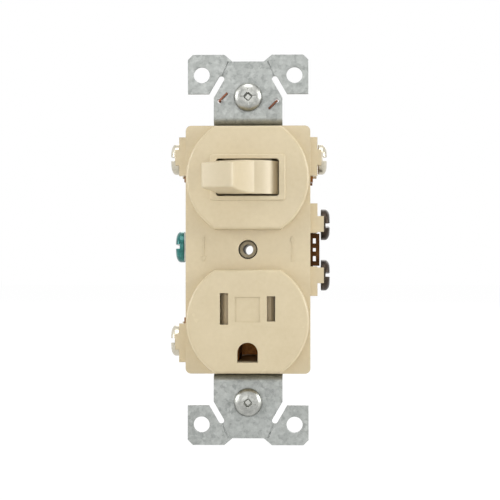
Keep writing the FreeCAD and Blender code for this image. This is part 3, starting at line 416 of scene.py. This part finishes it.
SLOT_DEPTH = 1.2
SLOT_WIDTH = 1.25
SLOT_LENGTH = 20
SOCKET_DEPTH = 1.4
SOCKET_REACH = 1.45
SOCKET_FLOOR = 0.85
CROSS_DEPTH = 0.6
CROSS_WIDTH = 0.4
CROSS_LENGTH = 4.4


def straight_slot(top, turn):
    """The cutter for a slot that runs right across a head."""
    return [block((2 * SLOT_DEPTH, SLOT_LENGTH, SLOT_WIDTH), (top, 0, 0), turn)]


def combination_recess(top, turn):
    """The cutters for a tapered square socket with a shallow cross over its corners."""
    socket = bmesh.new()
    radii = {"radius1": SOCKET_FLOOR, "radius2": 2 * SOCKET_REACH - SOCKET_FLOOR}
    bmesh.ops.create_cone(socket, cap_ends=True, segments=4, depth=2 * SOCKET_DEPTH, **radii)
    lay = Matrix.Translation((top, 0, 0)) @ Matrix.Rotation(math.pi / 2, 4, "Y")
    socket.transform(Matrix.Rotation(turn, 4, "X") @ lay)
    return [
        socket,
        block((2 * CROSS_DEPTH, CROSS_LENGTH, CROSS_WIDTH), (top, 0, 0), turn),
        block((2 * CROSS_DEPTH, CROSS_WIDTH, CROSS_LENGTH), (top, 0, 0), turn),
    ]


RIM_STEP = 0.15
OVERLAP = 0.05
NECK_OVERLAP = 0.3
ROOT_SHARE = 0.8


def screw(node, along, head_high, rim, flat, recess, turn):
    """A threaded screw with a round head, in the place of its CAD node.

    rim is the height of the head's edge, and flat the radius of its level middle.
    """
    low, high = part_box(node)
    centre = (low + high) / 2
    axis = max(range(3), key=lambda k: abs(along[k]))
    radius = (high[(axis + 1) % 3] - low[(axis + 1) % 3]) / 2 / MM
    length = (high[axis] - low[axis]) / MM - head_high
    origin = centre.copy()
    origin[axis] = (high[axis] if along[axis] > 0 else low[axis]) - along[axis] * head_high * MM
    shank = SHANKS[node]
    head = bmesh.new()
    under = [(0, 0), (0, radius - RIM_STEP), (RIM_STEP, radius)]
    lathe(head, under + crown(rim, head_high, radius, flat))
    head = carve(head, recess(head_high, turn))
    thread(head, OVERLAP - NECK.get(node, 0.0), -length, shank, shank * ROOT_SHARE, PITCH)
    if node in NECK:
        foot = -NECK[node] - NECK_OVERLAP
        lathe(head, [(OVERLAP, 0), (OVERLAP, NECK_RADIUS), (foot, NECK_RADIUS), (foot, 0)])
    turned = Vector(along).to_track_quat("X", "Z").to_matrix().to_4x4()
    matrix = Matrix.Translation(origin) @ turned @ Matrix.Scale(MM, 4)
    piece = finish_piece(node + "_threaded", head, slot_of[node], BODY_OF[node], matrix)
    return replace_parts(piece, node)


BODY_OF = {node: thing["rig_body"] for node, thing in frame["nodes"].items()}
PITCH = 0.79
TERMINAL_SHANK = 1.88
BOX_SHANK = 1.68
SCREWS = [node for node in BODY_OF if node.endswith("_screw")]
SHANKS = {node: BOX_SHANK if "box" in node else TERMINAL_SHANK for node in SCREWS}
NECK_RADIUS = 1.48
NECK_LENGTH = 2.9
NECK = {node: NECK_LENGTH for node in SCREWS if "box" in node}
TERMINAL_HEAD = (2.4, 1.1, 2.2)
BOX_HEAD = (2.3, 0.5, 0.9)
LEFT = (-1, 0, 0)
RIGHT = (1, 0, 0)
FRONT = (0, -1, 0)
for node, along, turn in (
    ("left_traveller_screw", LEFT, -0.02),
    ("neutral_screw", LEFT, 0.05),
    ("ground_screw", LEFT, 0.04),
    ("right_traveller_screw", RIGHT, 0.02),
    ("common_screw", RIGHT, 0.1),
    ("feed_screw", RIGHT, -0.06),
):
    screw(node, along, *TERMINAL_HEAD, straight_slot, turn)
for node, turn in (("upper_box_screw", 0.06), ("lower_box_screw", -0.12)):
    screw(node, FRONT, *BOX_HEAD, combination_recess, turn)


SEAM = 1e-7


def node_shape(node):
    """A CAD node's mesh with its seams joined, to be worked on as a piece of its own."""
    source = frame["nodes"][node]
    shape = bmesh.new()
    shape.from_mesh(source.data)
    shape.transform(source.matrix_world)
    bmesh.ops.remove_doubles(shape, verts=shape.verts, dist=SEAM)
    return shape


def wide_shutter(node, side):
    """A shutter whose outer edge reaches right across its slot, in the place of the CAD node."""
    shape = node_shape(node)
    for corner in shape.verts:
        if corner.co.x * side > SHUTTER_SHOULDER:
            corner.co.x += side * SHUTTER_WIDENING
    piece = finish_piece(node + "_wide", shape, slot_of[node], BODY_OF[node], Matrix())
    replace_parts(piece, node)


def shutter_spring_half(name, side):
    """One half of the spring between the shutters, pressed by its shutter towards the middle."""
    low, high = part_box("shutter_spring")
    middle = (low + high) / 2
    half = node_shape("shutter_spring")
    everything = list(half.verts) + list(half.edges) + list(half.faces)
    bmesh.ops.bisect_plane(
        half, geom=everything, plane_co=middle, plane_no=(side, 0, 0), clear_inner=True
    )
    bmesh.ops.holes_fill(half, edges=[edge for edge in half.edges if edge.is_boundary])
    piece = finish_piece(name, half, "spring_steel", BODY_OF["shutter_spring"], Matrix())
    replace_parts(piece, "shutter_spring")
    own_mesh(piece)


SHUTTER_SHOULDER = 0.0055
SHUTTER_WIDENING = 0.00045
wide_shutter("left_shutter", -1)
wide_shutter("right_shutter", 1)
shutter_spring_half("shutter_spring_left_half", -1)
shutter_spring_half("shutter_spring_right_half", 1)


WEB_FRONT = -2.3
ARROW_HALF_WIDTH = 0.14
ARROW_HALF_WING = 0.75
ARROW_HEAD = 1.5
ARROW_FOOT = 0.05
ARROW_RISE = 0.19


def arrow(name, x, tail, tip):
    """A thin raised arrow on the web beside the centre hole, from its tail to its tip in Z."""
    half = ARROW_HALF_WIDTH
    wing = ARROW_HALF_WING
    neck = tip - math.copysign(ARROW_HEAD, tip - tail)
    right = [(half, tail), (half, neck), (wing, neck)]
    left = [(-wing, neck), (-half, neck)]
    outline = [(-half, tail)] + right + [(0, tip)] + left
    shape = bmesh.new()
    foot = WEB_FRONT + ARROW_FOOT
    face = shape.faces.new([shape.verts.new((x + px, foot, pz)) for px, pz in outline])
    grown = bmesh.ops.extrude_face_region(shape, geom=[face])["geom"]
    raised = [item for item in grown if isinstance(item, bmesh.types.BMVert)]
    bmesh.ops.translate(shape, verts=raised, vec=(0, -ARROW_RISE, 0))
    return finish_piece(name, shape, "ivory", BODY_OF["front_cover"], Matrix.Scale(MM, 4), 20.0)


arrow("left_arrow", -12.0, 3.45, -3.3)
arrow("right_arrow", 12.1, -3.3, 3.7)


# Floor, light and camera

FLOOR_GLOW = 1.06
GLOW_SHARE = 0.9


def stage_material():
    material = bpy.data.materials.new("floor_white")
    material.use_nodes = True
    tree = material.node_tree
    shader = tree.nodes["Principled BSDF"]
    shader.inputs["Base Color"].default_value = (0.92, 0.92, 0.92, 1.0)
    shader.inputs["Roughness"].default_value = 0.9
    glow = tree.nodes.new("ShaderNodeEmission")
    glow.inputs["Strength"].default_value = FLOOR_GLOW
    share = tree.nodes.new("ShaderNodeMath")
    share.operation = "MULTIPLY"
    share.inputs[1].default_value = GLOW_SHARE
    mix = tree.nodes.new("ShaderNodeMixShader")
    tree.links.new(seen_directly(tree), share.inputs[0])
    tree.links.new(share.outputs[0], mix.inputs["Fac"])
    tree.links.new(shader.outputs[0], mix.inputs[1])
    tree.links.new(glow.outputs[0], mix.inputs[2])
    tree.links.new(mix.outputs[0], tree.nodes["Material Output"].inputs["Surface"])
    return material


def seen_directly(tree):
    """1 for rays that a lens, a mirror or a clear piece sends, and 0 for light."""
    path = tree.nodes.new("ShaderNodeLightPath")
    total = path.outputs["Is Camera Ray"]
    for ray in ("Is Glossy Ray", "Is Transmission Ray"):
        add = tree.nodes.new("ShaderNodeMath")
        add.operation = "MAXIMUM"
        tree.links.new(total, add.inputs[0])
        tree.links.new(path.outputs[ray], add.inputs[1])
        total = add.outputs[0]
    return total


FLOOR_SIDE = 6.0
FLOOR_GAP = 0.0004
floor_level = cad_box[0][2] - FLOOR_GAP
bpy.ops.mesh.primitive_plane_add(size=FLOOR_SIDE, location=(0, 0, floor_level))
floor = bpy.context.object
floor.name = "floor"
floor.data.materials.append(stage_material())

scene = bpy.context.scene
world = bpy.data.worlds.new("studio")
scene.world = world
world.use_nodes = True
sky = world.node_tree
background = sky.nodes["Background"]
background.inputs["Color"].default_value = (1.0, 1.0, 1.0, 1.0)
background.inputs["Strength"].default_value = 1.0
FILL_LIGHT = 0.34
dim = sky.nodes.new("ShaderNodeBackground")
dim.inputs["Color"].default_value = (1.0, 1.0, 1.0, 1.0)
dim.inputs["Strength"].default_value = FILL_LIGHT
choice = sky.nodes.new("ShaderNodeMixShader")
sky.links.new(seen_directly(sky), choice.inputs["Fac"])
sky.links.new(dim.outputs[0], choice.inputs[1])
sky.links.new(background.outputs[0], choice.inputs[2])
sky.links.new(choice.outputs[0], sky.nodes["World Output"].inputs["Surface"])


def lamp(name, place, power, size):
    """A soft square lamp that faces the object's middle."""
    light = bpy.data.lights.new(name, "AREA")
    light.energy = power
    light.size = size
    thing = bpy.data.objects.new(name, light)
    thing.location = place
    thing.rotation_euler = (-Vector(place)).to_track_quat("-Z", "Y").to_euler()
    scene.collection.objects.link(thing)


lamp("left_lamp", (-0.85, -0.28, 0.25), 3.4, 0.5)
lamp("right_lamp", (0.85, -0.24, 0.25), 4.6, 0.5)
lamp("top_lamp", (0.0, -0.3, 1.0), 3.6, 0.6)
lamp("front_lamp", (-0.15, -1.3, 0.25), 1.9, 0.7)
lamp("back_lamp", (0.2, 1.1, 0.6), 4.0, 0.8)

PIXELS = 500
PIXELS_PER_METRE = 3650
SENSOR = 36.0
camera_place = Vector((0.0112, -0.380, -0.004))
aim = Vector((0.0005, 0.0, -0.0001))
camera_data = bpy.data.cameras.new("camera")
camera_data.sensor_width = SENSOR
camera_data.lens = SENSOR * PIXELS_PER_METRE * -camera_place.y / PIXELS
camera_data.clip_start = 0.01
camera = bpy.data.objects.new("camera", camera_data)
camera.location = camera_place
camera.rotation_euler = (aim - camera_place).to_track_quat("-Z", "Y").to_euler()
scene.collection.objects.link(camera)
scene.camera = camera
scene.view_settings.view_transform = "Standard"
